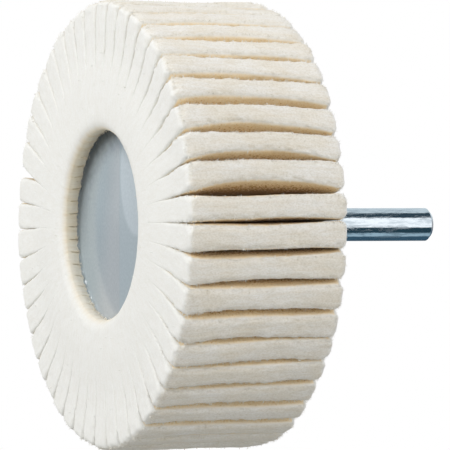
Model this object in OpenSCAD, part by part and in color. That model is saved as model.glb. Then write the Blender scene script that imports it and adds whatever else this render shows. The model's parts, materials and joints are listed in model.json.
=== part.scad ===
// Felt flap polishing wheel on a steel shank.
// The wheel turns about the Y axis. Its open, recessed front faces -Y and the shank points to +Y.
// The origin is on the axis, where the shank leaves the rear face of the resin core.

/* [Wheel] */
// Outer diameter of the wheel
wheel_d = 80; // [60:1:120]
// Width of the felt flaps along the axis
wheel_w = 30; // [20:1:50]
// Diameter of the hub hole that the flaps stand round
hub_d = 35; // [26:1:44]

/* [Felt flaps] */
// Number of flaps round the wheel
flap_count = 46; // [24:1:56]
// Thickness of the felt where nothing squeezes it
flap_t = 4.6; // [2.5:0.1:8]
// Bevel that stands for the worn edges of each flap's outer end
flap_bevel = 0.6; // [0.2:0.1:1]
// Turn of the whole ring of flaps about the axis, in degrees
flap_phase = 5.2; // [0:0.1:15]
// Depth of the notch punched in the inner end of each flap
notch_depth = 2; // [1:0.25:4]
// Width of that notch along the axis
notch_w = 6; // [3:0.5:10]

/* [Resin core] */
// Depth of the front recess, from the felt to the resin
front_recess = 3.5; // [1:0.5:6]
// Depth of the rear recess, from the felt to the resin
rear_recess = 5; // [1:0.5:6]
// Size of the fillet where the resin crept up the felt
resin_creep = 0.6; // [0.2:0.1:1]

/* [Shank] */
// Diameter of the shank
shank_d = 6; // [4:0.5:10]
// Free length of the shank behind the resin core
shank_l = 40; // [25:1:60]
// Chamfer round the free end
shank_chamfer = 0.6; // [0.2:0.1:1]
// Resin left in front of the shank's anchored end
anchor_cover = 4.5; // [2:0.5:4.5]
// Number of ridges of the straight knurl on the anchored end
knurl_count = 24; // [14:1:36]
// Height of the knurl's ridges
knurl_h = 0.35; // [0.2:0.05:0.5]
// Width of the ring groove and of the neck on the anchored end
groove_w = 1.5; // [0.5:0.25:2.5]
// Depth of that groove and neck below the ridges' feet
groove_depth = 0.4; // [0.1:0.05:0.6]

/* [Hidden] */
$fn = 96;
// Overshoot of cuts past the faces that they leave open
over = 1;

wheel_r = wheel_d / 2;
hub_r = hub_d / 2;
// Angle from one flap to the next, and half of it
flap_pitch = 360 / flap_count;
half_pitch = flap_pitch / 2;

// Places along the axis
felt_rear_y = rear_recess;
felt_front_y = rear_recess - wheel_w;
core_front_y = felt_front_y + front_recess;
wheel_mid_y = rear_recess - wheel_w / 2;

// Shank radii: plain, ridge top, ridge foot and groove floor
shank_r = shank_d / 2;
knurl_top_r = shank_r + knurl_h / 2;
knurl_foot_r = shank_r - knurl_h / 2;
groove_r = knurl_foot_r - groove_depth;
// Length of the shank inside the resin
anchor_l = -core_front_y - anchor_cover;
// Middle of the ring groove, halfway along the knurled stretch
groove_y = -(anchor_l + groove_w) / 2;

function flap_name(i) = str("flap_", i < 9 ? "0" : "", i + 1);

// Lays a shape that was drawn round Z, with its height along Z, round the Y axis instead
module along_y() {
    rotate([-90, 0, 0])
        children();
}

// Ring or disc round the Y axis from y0 to y1
module ring(outer_r, inner_r, y0, y1) {
    translate([0, y0, 0])
        along_y()
            difference() {
                cylinder(h = y1 - y0, r = outer_r);
                if (inner_r > 0)
                    translate([0, 0, -over])
                        cylinder(h = y1 - y0 + 2 * over, r = inner_r);
            }
}

// Solid turned round the Y axis from a profile of [radius, y] points
module turned(profile) {
    along_y()
        rotate_extrude()
            polygon(profile);
}

// End view of one flap: squeezed to a wedge by its neighbours near the hub, full thickness further out
module flap_outline() {
    far = 2 * wheel_r;
    intersection() {
        polygon([[0, 0], [far, far * tan(half_pitch)], [far, -far * tan(half_pitch)]]);
        polygon([
            [0, -flap_t / 2],
            [wheel_r - flap_bevel, -flap_t / 2],
            [wheel_r, -flap_t / 2 + flap_bevel],
            [wheel_r, flap_t / 2 - flap_bevel],
            [wheel_r - flap_bevel, flap_t / 2],
            [0, flap_t / 2]
        ]);
    }
}

// Space that the resin key takes in the flaps' inner ends
module resin_key() {
    ring(hub_r + notch_depth, 0, wheel_mid_y - notch_w / 2, wheel_mid_y + notch_w / 2);
}

// One felt flap, notched at its inner end and standing on the resin
module flap(i) {
    color("antiquewhite")
        difference() {
            intersection() {
                rotate([0, -(flap_phase + i * flap_pitch), 0])
                    translate([0, felt_rear_y, 0])
                        rotate([90, 0, 0])
                            linear_extrude(height = wheel_w)
                                flap_outline();
                ring(wheel_r, hub_r, felt_front_y, felt_rear_y);
            }
            resin_key();
        }
}

// Anchored end of the shank: two knurled bands, a ring groove between them and a neck at the resin's face
module shank_anchor() {
    difference() {
        translate([0, -anchor_l, 0])
            along_y()
                linear_extrude(height = anchor_l)
                    polygon([for (k = [0:2 * knurl_count - 1])
                        let (r = k % 2 == 0 ? knurl_top_r : knurl_foot_r, a = k * 180 / knurl_count)
                            [r * cos(a), r * sin(a)]]);
        ring(shank_d, groove_r, groove_y - groove_w / 2, groove_y + groove_w / 2);
        ring(shank_d, groove_r, -groove_w, over);
    }
}

// Whole shank, also used as the shape of the hole that it leaves in the resin
module shank_solid() {
    union() {
        turned([
            [0, 0],
            [shank_r, 0],
            [shank_r, shank_l - shank_chamfer],
            [shank_r - shank_chamfer, shank_l],
            [0, shank_l]
        ]);
        shank_anchor();
    }
}

// Cast resin core: a disc with a key round its middle and a low fillet against the felt at both faces
module resin_core() {
    color("lightslategray")
        difference() {
            union() {
                turned([
                    [0, core_front_y],
                    [hub_r - resin_creep, core_front_y],
                    [hub_r, core_front_y - resin_creep],
                    [hub_r, resin_creep],
                    [hub_r - resin_creep, 0],
                    [0, 0]
                ]);
                resin_key();
            }
            shank_solid();
        }
}

// Steel shank for the chuck or collet of the machine
module shank() {
    color("silver")
        shank_solid();
}

for (i = [0:flap_count - 1])
    flap(i);
resin_core();
shank();
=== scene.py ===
"""Felt flap polishing wheel: felt flaps, cast resin core and steel shank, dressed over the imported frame.

Everything is in metres in the frame's own axes: the wheel turns about Y, its recessed front faces -Y and
the shank points to +Y. Sizes are read from the frame, and each flap is a shell of its own.
"""

import json
import logging
import math
from dataclasses import dataclass, field

import bpy
import numpy as np
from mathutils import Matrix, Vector


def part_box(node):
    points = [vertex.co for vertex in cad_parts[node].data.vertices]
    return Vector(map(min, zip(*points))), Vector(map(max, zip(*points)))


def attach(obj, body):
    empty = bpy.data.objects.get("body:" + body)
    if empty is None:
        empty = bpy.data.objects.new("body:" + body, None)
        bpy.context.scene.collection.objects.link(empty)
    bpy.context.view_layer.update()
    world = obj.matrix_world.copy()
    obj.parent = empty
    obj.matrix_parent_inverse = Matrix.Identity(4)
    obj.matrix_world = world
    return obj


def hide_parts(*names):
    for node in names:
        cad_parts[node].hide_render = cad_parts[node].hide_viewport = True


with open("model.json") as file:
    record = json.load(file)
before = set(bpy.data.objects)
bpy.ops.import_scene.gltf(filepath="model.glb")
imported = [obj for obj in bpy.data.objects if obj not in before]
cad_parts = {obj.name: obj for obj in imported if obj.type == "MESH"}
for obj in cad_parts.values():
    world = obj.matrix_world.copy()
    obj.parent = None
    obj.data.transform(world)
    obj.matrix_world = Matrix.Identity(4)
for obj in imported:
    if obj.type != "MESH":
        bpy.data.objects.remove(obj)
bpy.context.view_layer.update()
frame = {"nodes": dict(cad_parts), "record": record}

MM = 0.001
SHANK_R_MM = frame["record"]["mounts"][0]["dims"]["r_mm"]
# Edges that turn by more than this are shaded as sharp
SHARP_ANGLE = math.radians(55.0)
# Odd numbers without a common measure, which scatter the hash of a cell
HASH_STRETCH = (12.9898, 78.233, 37.719)
HASH_SEED = 4.1414
HASH_SPREAD = 43758.5453
log = logging.getLogger("polishing_wheel")


# ---------------------------------------------------------------- numbers and noise


def smoothstep(x: np.ndarray, low: float, high: float) -> np.ndarray:
    """A share from 0 at low to 1 at high, with flat ends.

    Args:
        x: Values to turn into shares.
        low: Value that gives 0.
        high: Value that gives 1.

    Returns:
        3 t^2 - 2 t^3, where t runs from 0 to 1 between low and high.
    """
    t = np.clip((x - low) / (high - low), 0.0, 1.0)
    return t * t * (3.0 - 2.0 * t)


def hashed(cells: np.ndarray, seed: int) -> np.ndarray:
    """A repeatable random value from -1 to 1 for each whole-numbered cell.

    Args:
        cells: Whole numbers, three in a row.
        seed: Picks another field of values.

    Returns:
        One value a row, from the fraction of a stretched sine of the cell's number.
    """
    number = cells @ np.array(HASH_STRETCH) + seed * HASH_SEED
    return 2.0 * np.modf(np.abs(np.sin(number)) * HASH_SPREAD)[0] - 1.0


def lumps(points: np.ndarray, size: tuple[float, float, float], seed: int) -> np.ndarray:
    """Smooth lumps of a given size: value noise, blended between the corners of each cell.

    Args:
        points: Places in millimetres, three in a row.
        size: Length of a lump along each axis, in millimetres.
        seed: Picks another field.

    Returns:
        One value a row, from -1 to 1.
    """
    scaled = points / np.array(size)
    cell = np.floor(scaled)
    part = scaled - cell
    part = part * part * (3.0 - 2.0 * part)
    total = np.zeros(len(points))
    for corner in np.ndindex(2, 2, 2):
        step = np.array(corner, float)
        weight = np.prod(np.where(step == 1.0, part, 1.0 - part), axis=1)
        total += weight * hashed(cell + step, seed)
    return total


# ---------------------------------------------------------------- meshes


def mesh_piece(
    name: str, points: np.ndarray, faces: list[np.ndarray], material: bpy.types.Material
) -> bpy.types.Object:
    """Makes an object whose place is in its mesh, shaded smooth apart from its sharp edges.

    Args:
        name: Name of the piece.
        points: Vertices in metres, three in a row.
        faces: Groups of faces, each a table of vertex numbers, seen anticlockwise from outside.
        material: Finish of the whole piece.

    Returns:
        The new object, linked to the scene.
    """
    mesh = bpy.data.meshes.new(name)
    mesh.vertices.add(len(points))
    mesh.vertices.foreach_set("co", points.astype(np.float32).ravel())
    loops = np.concatenate([group.ravel() for group in faces])
    counts = np.concatenate([np.full(len(group), group.shape[1]) for group in faces])
    starts = np.concatenate([[0], np.cumsum(counts)[:-1]])
    mesh.loops.add(len(loops))
    mesh.loops.foreach_set("vertex_index", loops.astype(np.int32))
    mesh.polygons.add(len(counts))
    mesh.polygons.foreach_set("loop_start", starts.astype(np.int32))
    mesh.polygons.foreach_set("use_smooth", np.ones(len(counts), bool))
    mesh.update(calc_edges=True)
    mesh.validate()
    mesh.set_sharp_from_angle(angle=SHARP_ANGLE)
    mesh.materials.append(material)
    piece = bpy.data.objects.new(name, mesh)
    bpy.context.scene.collection.objects.link(piece)
    return piece


def set_attribute(piece: bpy.types.Object, name: str, values: np.ndarray) -> None:
    """Stores a number or a vector on each vertex for the piece's material.

    Args:
        piece: Object whose mesh takes the values.
        name: Name that the material reads.
        values: One number a vertex, or three.
    """
    kind, key = ("FLOAT", "value") if values.ndim == 1 else ("FLOAT_VECTOR", "vector")
    attribute = piece.data.attributes.new(name, kind, "POINT")
    attribute.data.foreach_set(key, values.astype(np.float32).ravel())


@dataclass(frozen=True)
class BlockShell:
    """The outer skin of a block of points, welded along its edges, ready to be bent into a flap.

    Attributes:
        index: For each vertex, its step along the three directions of the block.
        faces: Vertex numbers of the quads, four in a row. They face outwards where the block's three
            directions are right-handed.
    """

    index: np.ndarray
    faces: np.ndarray

    @classmethod
    def build(cls, steps: tuple[int, int, int]) -> "BlockShell":
        """Numbers the skin of a block that has that many steps along each direction.

        Each of the six sides is a grid of two parameters, and vertices that lie on the same step of the
        block are joined by sorting their numbers.

        Args:
            steps: Steps along the first, second and third direction.

        Returns:
            The welded skin.
        """
        corner_sets = []
        for axis in range(3):
            one, two = (axis + 1) % 3, (axis + 2) % 3
            u, v = np.meshgrid(np.arange(steps[one]), np.arange(steps[two]), indexing="ij")
            for end in (0, steps[axis]):
                quad = np.zeros((u.size, 4, 3), int)
                quad[:, :, axis] = end
                quad[:, :, one] = u.reshape(-1, 1) + np.array([0, 1, 1, 0])
                quad[:, :, two] = v.reshape(-1, 1) + np.array([0, 0, 1, 1])
                corner_sets.append(quad if end else quad[:, ::-1])
        corners = np.concatenate(corner_sets).reshape(-1, 3)
        index, inverse = np.unique(corners, axis=0, return_inverse=True)
        return cls(index=index, faces=inverse.reshape(-1, 4))


def crisp(profile: list[tuple[float, float]], lip: float) -> np.ndarray:
    """Adds a point a little way before and after each corner, so that smooth shading keeps it sharp.

    Args:
        profile: Radius and y of each corner, in millimetres.
        lip: Distance of the new points from their corner.

    Returns:
        Radius and y of each point of the denser profile.
    """
    corners = np.array(profile)
    made = [corners[0]]
    for before, here, after in zip(corners[:-2], corners[1:-1], corners[2:]):
        for other, late in ((before, False), (after, True)):
            way = other - here
            near = here + way * min(0.4, lip / np.linalg.norm(way))
            made += [here, near] if late else [near]
    made.append(corners[-1])
    return np.array(made)


def turned_points(profile: np.ndarray, around: int) -> tuple[np.ndarray, np.ndarray]:
    """Turns a profile round the Y axis: (r cos a, y, r sin a) for equal angles a, and a point at each pole.

    Args:
        profile: Radius and y of each point. The first and the last have radius 0.
        around: Number of equal angles.

    Returns:
        Vertices in the profile's unit, the two poles last, and the angle of each vertex.
    """
    angle = np.arange(around) * (2.0 * math.pi / around)
    rings = profile[1:-1]
    radius, height = np.repeat(rings[:, 0], around), np.repeat(rings[:, 1], around)
    turn = np.tile(angle, len(rings))
    body = np.stack([radius * np.cos(turn), height, radius * np.sin(turn)], axis=1)
    poles = np.array([[0.0, profile[0, 1], 0.0], [0.0, profile[-1, 1], 0.0]])
    return np.concatenate([body, poles]), np.concatenate([turn, [0.0, 0.0]])


def turned_faces(rings: int, around: int) -> list[np.ndarray]:
    """Faces of a turned skin: quads between rings, and a fan of triangles at each pole.

    Args:
        rings: Number of rings between the poles.
        around: Number of points in a ring.

    Returns:
        The quads and the triangles, outwards when the profile runs towards +Y on its outside.
    """
    ring, step = np.meshgrid(np.arange(rings - 1), np.arange(around), indexing="ij")
    here, beside = ring * around + step, ring * around + (step + 1) % around
    quads = np.stack([here, here + around, beside + around, beside], axis=-1).reshape(-1, 4)
    step = np.arange(around)
    beside = (step + 1) % around
    top = (rings - 1) * around
    first = np.stack([step, beside, np.full(around, rings * around)], axis=1)
    last = np.stack([top + beside, top + step, np.full(around, rings * around + 1)], axis=1)
    return [quads, np.concatenate([first, last])]


# ---------------------------------------------------------------- materials


def linear(hex_colour: str) -> tuple[float, float, float, float]:
    """An sRGB hex colour as linear red, green and blue, with full alpha.

    Args:
        hex_colour: Six hex digits after a hash sign.

    Returns:
        The colour that a shader socket takes.
    """
    parts = [int(hex_colour[i : i + 2], 16) / 255.0 for i in (1, 3, 5)]
    return tuple(p / 12.92 if p <= 0.04045 else ((p + 0.055) / 1.055) ** 2.4 for p in parts) + (1.0,)


def plug(tree: bpy.types.NodeTree, node: bpy.types.Node, inputs: dict) -> None:
    """Sets a node's own inputs to values, or links them to sockets.

    Args:
        tree: Node tree of the node.
        node: The node.
        inputs: Values or sockets, by the input's name or number.
    """
    for key, value in inputs.items():
        if isinstance(value, bpy.types.NodeSocket):
            tree.links.new(value, node.inputs[key])
        else:
            node.inputs[key].default_value = value


def add_node(
    tree: bpy.types.NodeTree, kind: str, settings: dict | None = None, inputs: dict | None = None
) -> bpy.types.Node:
    """Adds a shader node with its settings, values and links.

    Args:
        tree: Node tree of the material or world.
        kind: Blender's name for the node.
        settings: Attributes of the node to set.
        inputs: Values or sockets for its inputs, by the input's name or number.

    Returns:
        The new node.
    """
    node = tree.nodes.new(kind)
    for key, value in (settings or {}).items():
        setattr(node, key, value)
    plug(tree, node, inputs or {})
    return node


def ramp(
    tree: bpy.types.NodeTree, factor: bpy.types.NodeSocket, stops: list[tuple[float, str]]
) -> bpy.types.NodeSocket:
    """Colours a factor along a few stops.

    Args:
        tree: Node tree to add to.
        factor: Socket with the factor.
        stops: Place from 0 to 1 and hex colour of each stop, in order.

    Returns:
        The socket with the colour.
    """
    node = add_node(tree, "ShaderNodeValToRGB", inputs={"Fac": factor})
    elements = node.color_ramp.elements
    while len(elements) < len(stops):
        elements.new(1.0)
    for element, (place, colour) in zip(elements, stops):
        element.position = place
        element.color = linear(colour)
    return node.outputs["Color"]


def mix(
    tree: bpy.types.NodeTree, how: str, share: object, below: object, above: object
) -> bpy.types.NodeSocket:
    """Mixes two colours.

    Args:
        tree: Node tree to add to.
        how: Blender's name for the way of mixing.
        share: Share of the upper colour, as a socket or a number.
        below: Lower colour, as a socket or a linear colour.
        above: Upper colour, as a socket or a linear colour.

    Returns:
        The socket with the mixed colour.
    """
    settings = {"data_type": "RGBA", "blend_type": how}
    return add_node(tree, "ShaderNodeMix", settings, {0: share, 6: below, 7: above}).outputs[2]


def noise(
    tree: bpy.types.NodeTree, place: bpy.types.NodeSocket, lump: tuple[float, float, float], settings: dict
) -> bpy.types.NodeSocket:
    """Noise whose lumps have a given length along each axis.

    Args:
        tree: Node tree to add to.
        place: Socket with the coordinates.
        lump: Length of a lump along each axis, in the coordinates' unit.
        settings: Further inputs of the noise, such as its detail.

    Returns:
        The socket with the noise, which stays round 0.5.
    """
    scale = tuple(1.0 / length for length in lump)
    mapped = add_node(tree, "ShaderNodeMapping", inputs={"Vector": place, "Scale": scale})
    inputs = {"Vector": mapped.outputs["Vector"], "Scale": 1.0, **settings}
    return add_node(tree, "ShaderNodeTexNoise", inputs=inputs).outputs["Fac"]


def blank_material(name: str) -> tuple[bpy.types.Material, bpy.types.NodeTree, bpy.types.Node]:
    """A material with an empty tree that holds a Principled shader and its output.

    Args:
        name: Name of the material.

    Returns:
        The material, its tree and its Principled node.
    """
    material = bpy.data.materials.new(name)
    material.use_nodes = True
    tree = material.node_tree
    tree.nodes.clear()
    shader = add_node(tree, "ShaderNodeBsdfPrincipled")
    add_node(tree, "ShaderNodeOutputMaterial", inputs={"Surface": shader.outputs["BSDF"]})
    return material, tree, shader


@dataclass(frozen=True)
class WoolFelt:
    """Pressed white wool felt, die-cut: matt and soft, with faint streaks of fibre.

    The front and rear are pale and even, and the outer ends are creamier and more mottled. The sheet's
    own faces, seen only inside the gaps, are tan and turn brown with depth in ragged specks, as painted
    shade; the inner ends are tan where resin has wet them, and more so high in the ring as painted shade.
    """

    pale: str = "#F1F1EC"
    cream: str = "#F1EFE7"
    # Gap tones: the sheet faces' own tan at a gap's edge, then browner with depth as painted shade between
    # flaps
    gap_shade_edge: str = "#F4E4C4"
    gap_shade_mid: str = "#F2DFB8"
    gap_shade_deep: str = "#EBD3A3"
    gap_shade_floor: str = "#B8914F"
    # Tan of felt wet with resin, which also serves as painted shade on the upper hub wall
    soak_and_shade_tint: str = "#FBF0D6"
    # Wool fibres are 0.02 mm thick, so what shows here is tufts of them, several tenths of a mm long
    streak_mm: tuple[float, float, float] = (1.6, 0.55, 3.4)
    fibre_mm: tuple[float, float, float] = (0.30, 0.26, 0.38)
    blotch_mm: tuple[float, float, float] = (7.0, 4.0, 8.0)
    front_share: float = 0.35
    gap_shade_stops: tuple[float, float, float, float] = (0.40, 0.62, 0.86, 1.0)
    gap_shade_shown: tuple[float, float] = (0.01, 0.11)
    raggedness: float = 1.8
    # Taken off again, so that more ragged specks don't make the gap darker on the whole
    ragged_shift: float = 0.45
    nap_strength: float = 0.24
    nap_mm: float = 0.18
    roughness: float = 0.95
    specular: float = 0.1
    sheen: float = 0.15
    sheen_roughness: float = 0.6

    def material(self) -> bpy.types.Material:
        """Builds the felt from the flap's own coordinates in millimetres and its zone attributes.

        Returns:
            The finish of every flap.
        """
        material, tree, shader = blank_material("pressed_wool_felt")
        place = add_node(tree, "ShaderNodeAttribute", {"attribute_name": "flap_mm"}).outputs["Vector"]
        zones = {
            name: add_node(tree, "ShaderNodeAttribute", {"attribute_name": name}).outputs["Fac"]
            for name in ("rim", "gap_depth", "soak")
        }
        streaks = self.tufts(tree, place, self.streak_mm, 3.0)
        fibres = self.tufts(tree, place, self.fibre_mm, 3.0)
        blotches = self.tufts(tree, place, self.blotch_mm, 1.0)
        even = self.toned(tree, streaks, [(0.3, "#FBFAF8"), (0.62, "#FFFFFF")], linear(self.pale))
        mottled = self.toned(tree, streaks, [(0.34, "#FAF7F2"), (0.6, "#FFFFFF")], linear(self.cream))
        mottled = self.toned(tree, blotches, [(0.35, "#FBF8F2"), (0.65, "#FFFFFF")], mottled)
        colour = mix(tree, "MIX", zones["rim"], even, mottled)
        coarse = add_node(
            tree,
            "ShaderNodeMapRange",
            inputs={"Value": zones["rim"], "To Min": self.front_share, "To Max": 1.0},
        ).outputs["Result"]
        woolly = ramp(tree, fibres, [(0.32, "#EFEDE7"), (0.62, "#FFFFFF")])
        colour = mix(tree, "MULTIPLY", coarse, colour, woolly)
        colour = self.gap(tree, colour, fibres, zones["gap_depth"])
        # Tan of resin-wet felt at the inner ends, with painted shade high on the hub wall
        soak_and_shade_tint = self.toned(tree, streaks, [(0.3, "#F4EEE4"), (0.6, "#FFFFFF")], linear(self.soak_and_shade_tint))
        colour = mix(tree, "MIX", zones["soak"], colour, soak_and_shade_tint)
        height = add_node(
            tree, "ShaderNodeMath", {"operation": "MULTIPLY_ADD"}, {0: streaks, 1: 1.5, 2: fibres}
        ).outputs["Value"]
        height = add_node(
            tree, "ShaderNodeMath", {"operation": "MULTIPLY"}, {0: height, 1: coarse}
        ).outputs["Value"]
        bump = add_node(
            tree,
            "ShaderNodeBump",
            inputs={"Height": height, "Strength": self.nap_strength, "Distance": self.nap_mm * MM},
        )
        finish = {
            "Base Color": colour,
            "Normal": bump.outputs["Normal"],
            "Roughness": self.roughness,
            "Specular IOR Level": self.specular,
            "Sheen Weight": self.sheen,
            "Sheen Roughness": self.sheen_roughness,
        }
        plug(tree, shader, finish)
        return material

    def gap(
        self,
        tree: bpy.types.NodeTree,
        colour: bpy.types.NodeSocket,
        fibres: bpy.types.NodeSocket,
        depth: bpy.types.NodeSocket,
    ) -> bpy.types.NodeSocket:
        """Turns the felt tan inside the gaps, and browner with depth as painted shade, by depth plus a
        ragged share of the fibres' noise.

        Args:
            tree: Node tree to add to.
            colour: Colour of the felt outside the gaps.
            fibres: Noise of the fibres, round 0.5.
            depth: Share from 0 at the rim to 1 deep in the gap.

        Returns:
            The socket with the felt's colour both inside and outside the gaps.
        """
        shred = add_node(
            tree, "ShaderNodeMath", {"operation": "MULTIPLY_ADD"}, {0: fibres, 1: self.raggedness, 2: depth}
        ).outputs["Value"]
        shred = add_node(
            tree, "ShaderNodeMath", {"operation": "SUBTRACT"}, {0: shred, 1: self.ragged_shift}
        ).outputs["Value"]
        tones = (self.gap_shade_edge, self.gap_shade_mid, self.gap_shade_deep, self.gap_shade_floor)
        deep = ramp(tree, shred, list(zip(self.gap_shade_stops, tones)))
        shown = add_node(
            tree,
            "ShaderNodeMapRange",
            {"interpolation_type": "SMOOTHSTEP"},
            {"Value": depth, "From Min": self.gap_shade_shown[0], "From Max": self.gap_shade_shown[1]},
        )
        return mix(tree, "MIX", shown.outputs["Result"], colour, deep)

    def toned(
        self,
        tree: bpy.types.NodeTree,
        factor: bpy.types.NodeSocket,
        stops: list[tuple[float, str]],
        colour: object,
    ) -> bpy.types.NodeSocket:
        """Darkens a colour where the noise is low, by a ramp that ends in white."""
        return mix(tree, "MULTIPLY", 1.0, ramp(tree, factor, stops), colour)

    def tufts(
        self,
        tree: bpy.types.NodeTree,
        place: bpy.types.NodeSocket,
        size_mm: tuple[float, float, float],
        detail: float,
    ) -> bpy.types.NodeSocket:
        """Noise whose lumps have that length along, through and across the sheet of felt."""
        return noise(tree, place, size_mm, {"Detail": detail, "Roughness": 0.6, "Distortion": 0.2})


@dataclass(frozen=True)
class CastEpoxy:
    """Grey epoxy resin, poured and cured: glossy. Its colour holds painted shade at the upper left, with a
    painted shadow along that edge, and a painted reflection band with a brighter patch on the right.

    The surface is liquid-smooth but has caught a little dust, which shows as a faint grain.
    """

    # The first tone is the resin where the painted shade at the upper left is darkest; the second fades
    # that shade out, and the third and fourth are a painted reflection band and its brighter patch
    resin_grey: str = "#A8B4B9"
    middle_pour: str = "#B7BDC0"
    last_pour: str = "#B3BEC3"
    pool: str = "#C4CED3"
    # Painted shadow of the recess wall along the upper left edge of the resin
    grime: str = "#3E484F"
    speck_mm: float = 0.5
    speck_strength: float = 0.08
    speck_h_mm: float = 0.1
    roughness: float = 0.16
    ior: float = 1.55

    def material(self) -> bpy.types.Material:
        """Builds the resin from the shares of painted shade, painted reflection and painted shadow, which
        the core stores on its vertices.

        Returns:
            The finish of the core.
        """
        material, tree, shader = blank_material("cast_grey_epoxy")
        place = add_node(tree, "ShaderNodeTexCoord").outputs["Object"]
        colour = linear(self.resin_grey)
        layers = (
            ("middle_pour", self.middle_pour),
            ("last_pour", self.last_pour),
            ("pool", self.pool),
            ("grime", self.grime),
        )
        for name, tone in layers:
            share = add_node(tree, "ShaderNodeAttribute", {"attribute_name": name}).outputs["Fac"]
            colour = mix(tree, "MIX", share, colour, linear(tone))
        specks = add_node(
            tree,
            "ShaderNodeTexNoise",
            inputs={"Vector": place, "Scale": 1.0 / (self.speck_mm * MM), "Detail": 3.0},
        ).outputs["Fac"]
        dusty = mix(tree, "MULTIPLY", 1.0, colour, ramp(tree, specks, [(0.3, "#F2F3F4"), (0.7, "#FFFFFF")]))
        bump = add_node(
            tree,
            "ShaderNodeBump",
            inputs={"Height": specks, "Strength": self.speck_strength, "Distance": self.speck_h_mm * MM},
        )
        finish = {
            "Base Color": dusty,
            "Normal": bump.outputs["Normal"],
            "Roughness": self.roughness,
            "IOR": self.ior,
        }
        plug(tree, shader, finish)
        return material


@dataclass(frozen=True)
class GroundSteel:
    """Round steel bar, ground and polished: bright, with fine marks round it and smears along it.

    Grinding marks are finer than a hundredth of a millimetre, so they are drawn coarser than they are.
    The smears and flecks are where handling and the chuck have dulled the polish.
    """

    steel: str = "#D8DCDF"
    dull: str = "#B9C0C5"
    polished: float = 0.06
    smeared: float = 0.34
    mark_mm: tuple[float, float, float] = (12.0, 0.12, 12.0)
    mark_h_mm: float = 0.05
    mark_strength: float = 0.05
    smear_mm: tuple[float, float, float] = (0.50, 5.0, 0.50)
    fleck_mm: tuple[float, float, float] = (0.28, 1.1, 0.28)
    fleck_share: float = 0.6
    dull_from: float = 0.66
    dull_to: float = 0.98
    wave_h_mm: float = 0.016
    wave_strength: float = 0.5

    def material(self) -> bpy.types.Material:
        """Builds the steel from grinding marks, long smears and small flecks.

        Returns:
            The finish of the shank.
        """
        material, tree, shader = blank_material("ground_steel")
        marks = self.grain(tree, self.mark_mm, 3.0)
        smears = self.grain(tree, self.smear_mm, 2.0)
        flecks = self.grain(tree, self.fleck_mm, 2.0)
        blotches = add_node(
            tree,
            "ShaderNodeMath",
            {"operation": "MULTIPLY_ADD"},
            {0: flecks, 1: self.fleck_share, 2: smears},
        ).outputs["Value"]
        rough = add_node(
            tree,
            "ShaderNodeMapRange",
            {"interpolation_type": "SMOOTHSTEP"},
            {
                "Value": blotches,
                "From Min": self.dull_from,
                "From Max": self.dull_to,
                "To Min": self.polished,
                "To Max": self.smeared,
            },
        )
        colour = ramp(tree, blotches, [(self.dull_from, self.steel), (self.dull_to, self.dull)])
        fine = add_node(
            tree,
            "ShaderNodeBump",
            inputs={"Height": marks, "Strength": self.mark_strength, "Distance": self.mark_h_mm * MM},
        )
        waves = add_node(
            tree,
            "ShaderNodeBump",
            inputs={
                "Height": blotches,
                "Strength": self.wave_strength,
                "Distance": self.wave_h_mm * MM,
                "Normal": fine.outputs["Normal"],
            },
        )
        finish = {
            "Base Color": colour,
            "Normal": waves.outputs["Normal"],
            "Roughness": rough.outputs["Result"],
            "Metallic": 1.0,
        }
        plug(tree, shader, finish)
        return material

    def grain(
        self, tree: bpy.types.NodeTree, size_mm: tuple[float, float, float], detail: float
    ) -> bpy.types.NodeSocket:
        """Noise whose lumps have that length across, along and across the bar."""
        place = add_node(tree, "ShaderNodeTexCoord").outputs["Object"]
        return noise(tree, place, tuple(s * MM for s in size_mm), {"Detail": detail})


# ---------------------------------------------------------------- sizes from the frame


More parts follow.
